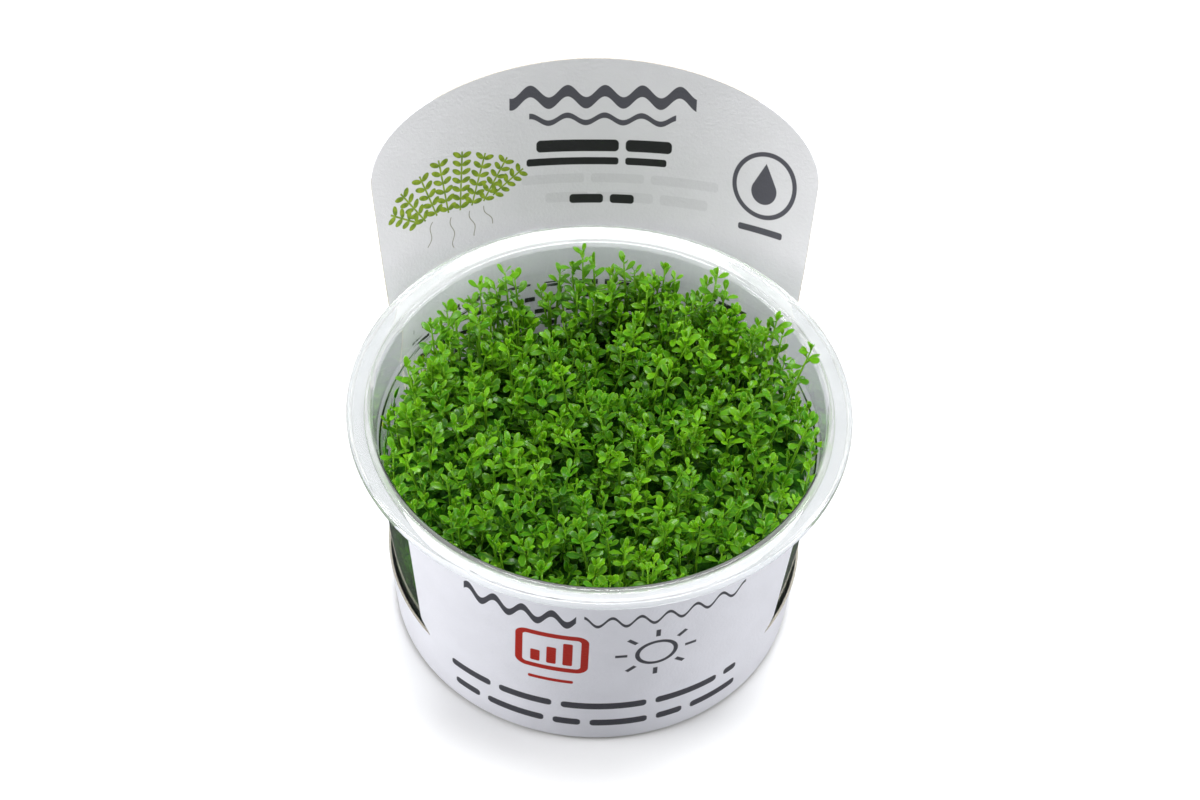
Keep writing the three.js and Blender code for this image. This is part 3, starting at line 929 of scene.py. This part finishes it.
class Form:
    """Points, triangles and per-point values of a small mesh, ready to be copied many times."""

    def __init__(self, bm):
        bm.verts.index_update()
        self.points = np.array([vert.co for vert in bm.verts])
        self.triangles = np.array([[vert.index for vert in face.verts] for face in bm.faces])
        self.values = {}
        for name, layer in bm.verts.layers.float.items():
            self.values[name] = np.array([vert[layer] for vert in bm.verts])
        bm.free()


class Greenery:
    """Collects copies of small forms and joins them to one mesh."""

    def __init__(self):
        self.points = []
        self.triangles = []
        # depth holds how much painted shade a copy takes.
        self.values = {"along": [], "rim": [], "tone": [], "depth": [], "stem": []}
        self.count = 0

    def add(self, form, matrix, tone, depth, stem=0.0):
        turned = form.points @ np.array(matrix.to_3x3()).T + np.array(matrix.translation)
        self.points.append(turned)
        self.triangles.append(form.triangles + self.count)
        self.count += len(turned)
        values = {"tone": tone, "depth": depth, "stem": stem} | form.values
        for name, value in values.items():
            self.values[name].append(np.broadcast_to(value, len(turned)))

    def mesh(self, name):
        """Joins the copies. What would pass through the cup's wall lies flat against it instead."""
        points = np.concatenate(self.points)
        away = np.hypot(points[:, 0], points[:, 1])
        limit = np.where(points[:, 2] < CUP_HEIGHT - 0.5, inner_wall(points[:, 2]) - LEAF_GAP, np.inf)
        points[:, :2] *= np.minimum(1, limit / np.maximum(away, 1))[:, None]
        points *= MM
        triangles = np.concatenate(self.triangles)
        mesh = bpy.data.meshes.new(name)
        mesh.from_pydata(points, [], triangles)
        for key, parts in self.values.items():
            layer = mesh.attributes.new(key, "FLOAT", "POINT")
            layer.data.foreach_set("value", np.concatenate(parts).astype(np.float32))
        mesh.update()
        return mesh


def stem_form(points, radii, facets=5):
    """A round stem through the points, closed at both ends."""
    bm = bmesh.new()
    bm.verts.layers.float.new("rim")
    bm.verts.layers.float.new("along")
    loops = []
    for at, (point, radius) in enumerate(zip(points, radii)):
        before, after = points[max(0, at - 1)], points[min(len(points) - 1, at + 1)]
        aim = (after - before).to_track_quat("Z", "X").to_matrix().to_4x4()
        ring = bmesh.ops.create_circle(
            bm, segments=facets, radius=radius, cap_ends=at in (0, len(points) - 1),
            matrix=Matrix.Translation(point) @ aim)["verts"]
        loops.append({edge for vert in ring for edge in vert.link_edges})
    for lower, upper in zip(loops, loops[1:]):
        bmesh.ops.bridge_loops(bm, edges=list(lower | upper))
    bmesh.ops.triangulate(bm, faces=bm.faces)
    bmesh.ops.recalc_face_normals(bm, faces=bm.faces)
    return Form(bm)


def leaf_green():
    """Leaf green: lighter and yellower at the shoots' tips, darker further down and deeper in the mat as
    painted shade, with a paler rim as a painted highlight, a paler midrib, a damp gloss and light inside it.
    """
    material, shading, shader = new_material(
        "fresh green leaf", Metallic=0.0, IOR=1.4, Specular_IOR_Level=0.25, Subsurface_Weight=0.25,
        Subsurface_Scale=0.0012, Subsurface_Radius=(0.6, 1.0, 0.2), Coat_Roughness=0.07)
    place = object_place(shading)
    tone = shading.attribute("tone")
    depth = shading.attribute("depth")
    rim = shading.attribute("rim")
    along = shading.attribute("along")
    stem = shading.attribute("stem")
    veins = shading.noise(place, 900.0, 2.0)
    # The shaded colours are mixed in by the depth value and are painted shade: lower leaves, and leaves
    # against the wall, take more of them.
    fresh = shading.mix(tone, (0.036, 0.18, 0.001, 1), (0.14, 0.37, 0.003, 1))
    shaded = shading.mix(tone, (0.010, 0.075, 0.0006, 1), (0.026, 0.125, 0.001, 1))
    colour = shading.mix(depth, fresh, shaded)
    midrib = shading.times(shading.ramp(rim, 0.14, 0.0), shading.ramp(along, 0.9, 0.5))
    # The paler rim is a painted highlight where leaf edges catch light; the paler midrib is the leaf's own
    # colour.
    pale = shading.math("MAXIMUM", shading.math("POWER", rim, 3.0), shading.times(midrib, 0.7))
    pale = shading.times(pale, 0.5)
    colour = shading.mix(pale, colour, (0.23, 0.46, 0.02, 1))
    vein_share = shading.times(shading.ramp(veins, 0.35, 0.65), 0.25)
    colour = shading.mix(vein_share, colour, (0.033, 0.18, 0.003, 1))
    colour = shading.mix(shading.times(stem, 0.5), colour, (0.17, 0.36, 0.025, 1))
    shading.feed_all(shader, Base_Color=colour, Roughness=shading.ramp(veins, 0.3, 0.7, 0.28, 0.5),
                     Coat_Weight=shading.ramp(along, 0.0, 1.0, 0.03, 0.22),
                     Normal=shading.bump(veins, 0.35, 0.0002))
    return material


def tuft_centres():
    """Middles of the plant clumps, from the boxes of the frame's tufts."""
    names = sorted(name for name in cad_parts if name.startswith("tuft_"))
    middles = {}
    for name in names:
        low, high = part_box(name)
        middles[name] = ((low.x + high.x) / 2 / MM, (low.y + high.y) / 2 / MM)
    return middles


def leaf_matrix(point, azimuth, rise, roll, size):
    """Places a leaf that points along +Y: turned to its azimuth, raised from level, rolled and sized."""
    return (
        Matrix.Translation(point)
        @ Matrix.Rotation(azimuth, 4, "Z")
        @ Matrix.Rotation(rise, 4, "X")
        @ Matrix.Rotation(roll, 4, "Y")
        @ Matrix.Scale(size, 4)
    )


def on_bend(root, knee, tip, share):
    """A point of the even bend from root to tip that leans towards the knee."""
    return root.lerp(knee, share).lerp(knee.lerp(tip, share), share)


def grow_shoot(green, leaves, draw, root, tip, pairs, largest, tone, shade):
    """One shoot from root to tip: a bent stem and crossed pairs of leaves that open wider further down."""
    knee = root.lerp(tip, 0.5) + Vector((draw.uniform(-0.5, 0.5), draw.uniform(-0.5, 0.5), 0.3))
    path = [on_bend(root, knee, tip, share) for share, _ in STEM_STATIONS]
    radii = [STEM_RADIUS * thickness for _, thickness in STEM_STATIONS]
    length = (tip - root).length
    # The stem and leaves take painted shade: more for a shoot whose tip lies low, and more for leaves further
    # down it.
    green.add(stem_form(path, radii), Matrix(), tone, shade * 0.7, 1.0)
    azimuth = draw.uniform(0, 2 * math.pi)
    for gap, rise, share in LEAF_PAIRS[:pairs]:
        gap *= draw.uniform(0.9, 1.1)
        if gap > length:
            break
        point = on_bend(root, knee, tip, 1 - gap / length)
        azimuth += math.pi / 2 + draw.uniform(-0.3, 0.3)
        for side in (0, math.pi):
            raised = math.radians(rise + draw.uniform(-24, 24))
            size = largest * share * draw.uniform(0.82, 1.12)
            depth = min(1.0, shade + gap / 11)
            heading = azimuth + side + draw.uniform(-0.25, 0.25)
            matrix = leaf_matrix(point, heading, raised, draw.uniform(-0.55, 0.55), size)
            green.add(draw.choice(leaves), matrix, min(1, max(0, tone + draw.uniform(-0.25, 0.25))), depth)


def shoot_roots(draw):
    """Loose triangular grid over the mat."""
    reach = math.ceil(MAT_RADIUS / SHOOT_SPACING) + 2
    spots = []
    for row in range(-reach, reach + 1):
        for column in range(-reach, reach + 1):
            x = SHOOT_SPACING * (column + (row % 2) / 2) + draw.uniform(-0.9, 0.9)
            y = SHOOT_SPACING * row * math.sqrt(0.75) + draw.uniform(-0.9, 0.9)
            if math.hypot(x, y) < MAT_RADIUS - 0.6:
                spots.append((x, y))
    return spots


def grow_mat(leaves, draw, green_at):
    """The mat's shoots. Half of them reach the top, and those along the clear wall are longer."""
    for x, y in shoot_roots(draw):
        height = canopy(x, y) + (draw.uniform(-1.2, 3.0) if draw.random() < 0.5 else draw.uniform(-7.5, -1.5))
        at_wall = math.hypot(x, y) / MAT_RADIUS > WALL_SHARE
        lean = Vector((draw.gauss(0, 2.3), draw.gauss(0, 2.3), 0))
        widen = spread(height)
        tip = Vector((x * widen, y * widen, height)) + lean
        limit = MAT_RADIUS * widen - 0.5
        away = math.hypot(tip.x, tip.y)
        if away > limit:
            tip.x *= limit / away
            tip.y *= limit / away
        narrow = spread(height - SHOOT_LENGTH)
        root = Vector((x * narrow, y * narrow, height - SHOOT_LENGTH - draw.uniform(0, 2)))
        if at_wall:
            root.z -= WALL_EXTRA_LENGTH
        # The last argument is the shoot's painted shade, which grows the further its tip lies below the
        # canopy.
        grow_shoot(green_at(x, y), leaves, draw, root, tip, WALL_PAIRS if at_wall else SHOOT_PAIRS,
                   draw.uniform(*LEAF_SIZES), draw.uniform(0.1, 0.9),
                   max(0.0, (canopy(x, y) + 0.6 - height) / 8))


def grow_back(leaves, draw, green_at):
    """Longer shoots along the back, where the mat climbs the wall."""
    for _ in range(BACK_SHOOTS):
        angle = math.radians(draw.uniform(*BACK_ANGLES))
        radius = draw.uniform(32, 39)
        height = CUP_HEIGHT - draw.uniform(2.5, 8.5)
        root = on_circle(radius, angle, CUP_HEIGHT - 20)
        out = min(radius + draw.uniform(0.5, 3), 41.5) / radius
        tip = Vector((root.x * out, root.y * out, height)) + Vector((draw.uniform(-1.5, 1.5), 0, 0))
        grow_shoot(green_at(root.x, root.y), leaves, draw, root, tip, SHOOT_PAIRS, draw.uniform(2.8, 3.6),
                   draw.uniform(0.3, 0.9), 0.05)


def press_wall_leaves(leaf, draw, green_at):
    """Leaves that lie flat against the clear wall behind the side windows."""
    for _ in range(WALL_LEAVES):
        angle = math.radians(draw.choice((-1, 1)) * draw.uniform(*WALL_LEAF_ANGLES))
        height = draw.uniform(*WALL_LEAF_HEIGHTS)
        point = on_circle((MAT_RADIUS + 0.12) * spread(height), angle, height)
        matrix = (
            Matrix.Translation(point)
            @ Matrix.Rotation(math.pi - angle, 4, "Z")
            @ Matrix.Rotation(math.pi / 2, 4, "X")
            @ Matrix.Rotation(draw.uniform(-2, 2), 4, "Z")
            @ Matrix.Scale(draw.uniform(2.4, 3.8), 4)
        )
        # These leaves take the darkest leaf colour, as painted shade.
        green_at(point.x, point.y).add(leaf, matrix, draw.uniform(0, 0.6), draw.uniform(0.75, 1.0))


def grow_tall(leaves, draw, green_at):
    """The shoots that stand out of the mat. Those along the back have lower ones beside them."""
    for root_x, root_y, tip_x, tip_y, above in TALL_SHOOTS:
        root = Vector((root_x, root_y, canopy(root_x, root_y) - 8))
        tip = Vector((tip_x, tip_y, CUP_HEIGHT + above))
        beside = Vector((-tip_y, tip_x, 0)).normalized()
        for shift, drop in SHOOT_GROUP if tip_y > 20 else SHOOT_GROUP[:1]:
            place = beside * shift
            grow_shoot(green_at(root_x, root_y), leaves, draw, root + place,
                       tip + place - Vector((0, 0, drop)), SHOOT_PAIRS, 3.3, 0.6, 0.0)


def make_plants():
    draw = random.Random(PLANT_SEED)
    leaves = [leaf_form(*numbers) for numbers in LEAF_FORMS]
    middles = tuft_centres()
    greens = {name: Greenery() for name in middles}

    def green_at(x, y):
        nearest = min(middles, key=lambda name: (middles[name][0] - x) ** 2 + (middles[name][1] - y) ** 2)
        return greens[nearest]

    grow_mat(leaves, draw, green_at)
    grow_back(leaves, draw, green_at)
    press_wall_leaves(leaves[2], draw, green_at)
    grow_tall(leaves, draw, green_at)
    material = leaf_green()
    for name, green in greens.items():
        piece = add_piece("leaves_" + name, green.mesh("leaves_" + name), [material])
        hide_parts(name)


def tangle_green():
    """The dark tangle under the leaves: upright strands of shaded green and brown."""
    material, shading, shader = new_material("shaded tangle", Metallic=0.0, Specular_IOR_Level=0.05)
    place = object_place(shading)
    strands = shading.noise(shading.mapping("POINT", Vector=place, Scale=(1, 1, 0.22)), 480.0, 3.0, 0.6)
    patches = shading.noise(place, 90.0, 2.0)
    # The dark green is painted shade for the gaps between the leaves; the brown low down is the tangle's own
    # colour.
    green = shading.mix(shading.ramp(strands, 0.35, 0.7), (0.005, 0.032, 0.001, 1), (0.024, 0.12, 0.003, 1))
    brown = shading.mix(shading.ramp(strands, 0.35, 0.7), (0.010, 0.014, 0.003, 1), (0.045, 0.055, 0.014, 1))
    low = shading.ramp(shading.parts(place)["Z"], 0.036, 0.026)
    brown_share = shading.times(shading.ramp(patches, 0.42, 0.6), low)
    shading.feed_all(shader, Base_Color=shading.mix(brown_share, green, brown),
                     Roughness=shading.ramp(strands, 0.3, 0.7, 0.4, 0.7),
                     Normal=shading.bump(strands, 0.8, 0.0012))
    return material


def make_core():
    """The tangle of stems and shaded leaves that fills the mat below its bright tips."""
    bottom = GEL_TOP + 0.1
    levels = [(radius, 0) for radius in np.linspace(0, MAT_RADIUS - 1.2, CORE_RINGS)]
    side = [(MAT_RADIUS, share) for share in (0.04, 0.12, 0.25, 0.4, 0.55, 0.7, 0.85, 1)]
    span = 10
    bm = turn_profile([(radius, -span * share) for radius, share in levels + side + [(0, 1)]], CORE_FACETS)
    for vert in bm.verts:
        share = -vert.co.z / span
        x, y = vert.co.x, vert.co.y
        top = canopy(x, y) - CORE_DEPTH
        height = top + (bottom - top) * share
        widen = spread(height)
        lump = noise.noise(Vector((x * 0.5, y * 0.5, height * 0.3))) if 0 < share < 1 else 0
        rough = noise.noise(Vector((x * 0.45, y * 0.45, 3))) * 2.2 if share == 0 else 0
        grow = widen * (0.99 + 0.01 * lump)
        vert.co = Vector((x * grow, y * grow, height + rough))
    core = add_piece("shaded_tangle", to_mesh("shaded_tangle", bm), [tangle_green()])


# Studio

def make_floor():
    """A pale floor, darker to what the cup reflects and to what is seen through several layers of plastic."""
    material, shading, shader = new_material("pale floor", Metallic=0.0)
    grain = shading.noise(object_place(shading), 6.0, 2.0)
    ray = shading.node("ShaderNodeLightPath").outputs
    paper = shading.mix(grain, (0.88, 0.88, 0.89, 1), (0.91, 0.91, 0.92, 1))
    dark = (0.03, 0.035, 0.03, 1)
    mirrored = shading.mix(ray["Is Glossy Ray"], (0.42, 0.43, 0.44, 1), dark)
    deep = shading.math("GREATER_THAN", ray["Ray Depth"], 2.5)
    seen = shading.mix(deep, (0.27, 0.28, 0.29, 1), dark)
    through = shading.mix(ray["Is Transmission Ray"], mirrored, seen)
    shading.feed_all(shader, Base_Color=shading.mix(ray["Is Camera Ray"], through, paper),
                     Roughness=shading.ramp(grain, 0.3, 0.7, 0.7, 0.8))
    bm = bmesh.new()
    bmesh.ops.create_grid(bm, x_segments=1, y_segments=1, size=FLOOR_REACH)
    floor = add_object("floor", to_mesh("floor", bm))
    floor.data.materials.append(material)


def soft_light(name, place, size, power):
    data = bpy.data.lights.new(name, "AREA")
    data.shape = "RECTANGLE"
    data.size, data.size_y = size
    data.energy = power
    light = add_object(name, data)
    light.location = place
    light.rotation_euler = (Vector(LIGHT_AIM) - Vector(place)).to_track_quat("-Z", "Y").to_euler()


def make_lights():
    for light in LIGHTS:
        soft_light(*light)
    world = bpy.data.worlds.new("pale studio")
    world.use_nodes = True
    background = world.node_tree.nodes["Background"]
    background.inputs["Color"].default_value = (1, 1, 1, 1)
    background.inputs["Strength"].default_value = WORLD_STRENGTH
    bpy.context.scene.world = world
    bpy.context.scene.view_settings.view_transform = "Standard"


def make_camera():
    """Aims a little above and behind the rim's middle, with the small roll of the photograph."""
    turn = math.radians(CAMERA_TURN)
    place = Vector((
        -CAMERA_REACH * math.sin(turn),
        -CAMERA_REACH * math.cos(turn),
        CUP_HEIGHT + CAMERA_RISE,
    ))
    aim = Vector((0, 0.6, CUP_HEIGHT + 0.5))
    data = bpy.data.cameras.new("camera")
    data.lens = CAMERA_LENS
    camera = add_object("camera", data)
    roll = Matrix.Rotation(math.radians(CAMERA_ROLL), 3, "Z").to_quaternion()
    camera.rotation_mode = "QUATERNION"
    camera.rotation_quaternion = (aim - place).to_track_quat("-Z", "Y") @ roll
    camera.location = place * MM
    bpy.context.scene.camera = camera


make_camera()
make_lights()
make_floor()
make_cup()
make_gel()
coated = coated_board()
make_sleeve(printed_outer(coated), printed_inner(coated), board_edge())
make_core()
make_plants()
